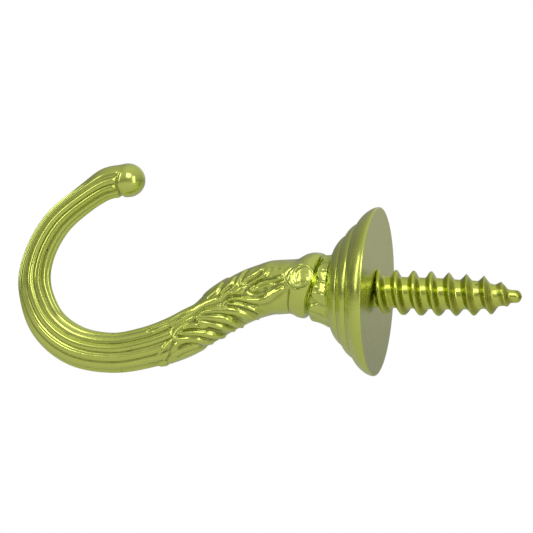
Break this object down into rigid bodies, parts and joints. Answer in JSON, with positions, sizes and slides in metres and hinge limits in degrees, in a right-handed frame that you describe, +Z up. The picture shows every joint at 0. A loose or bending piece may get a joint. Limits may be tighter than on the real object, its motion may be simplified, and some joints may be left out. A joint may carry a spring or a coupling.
{
  "type": "screw-in ornamental wall hook",
  "caption": "Cast brass wall hook with a reeded curl, leafed neck, petalled calyx ring and stepped rosette, held by a hanger bolt screwed into wood.",
  "frame": {"origin": "centre of the rosette's flat back, on the bolt's axis, in the plane of the wall", "axes": "+X into the wall along the bolt, +Z up, the side the curl opens to, and Y across the hook, which is the same on both sides of Y = 0"},
  "size_m": [0.073, 0.024, 0.03],
  "materials": {
    "polished_brass": "cast brass, polished and lacquered",
    "rosette_brass": "turned and polished steps, with a flat back ground to a satin",
    "bolt_brass": "thread left bright as cut"
  },
  "bodies": {
    "bolt": {"hanger_bolt": "bolt_brass"},
    "rosette": {"rosette": "rosette_brass"},
    "arm": {"hook_arm": "polished_brass", "calyx_ring": "polished_brass"}
  },
  "joints": [
    {"name": "rosette_slide", "type": "slide", "parent": "bolt", "child": "rosette", "axis": [-1, 0, 0], "range_m": [0, 0.007]},
    {"name": "arm_turn", "type": "hinge", "parent": "rosette", "child": "arm", "pos_m": [0, 0, 0], "axis": [-1, 0, 0], "range_deg": [0, 3600]}
  ],
  "couplings": [
    {"joint": "arm_turn", "follows": "rosette_slide", "rad_per_m": 8975.9}
  ]
}
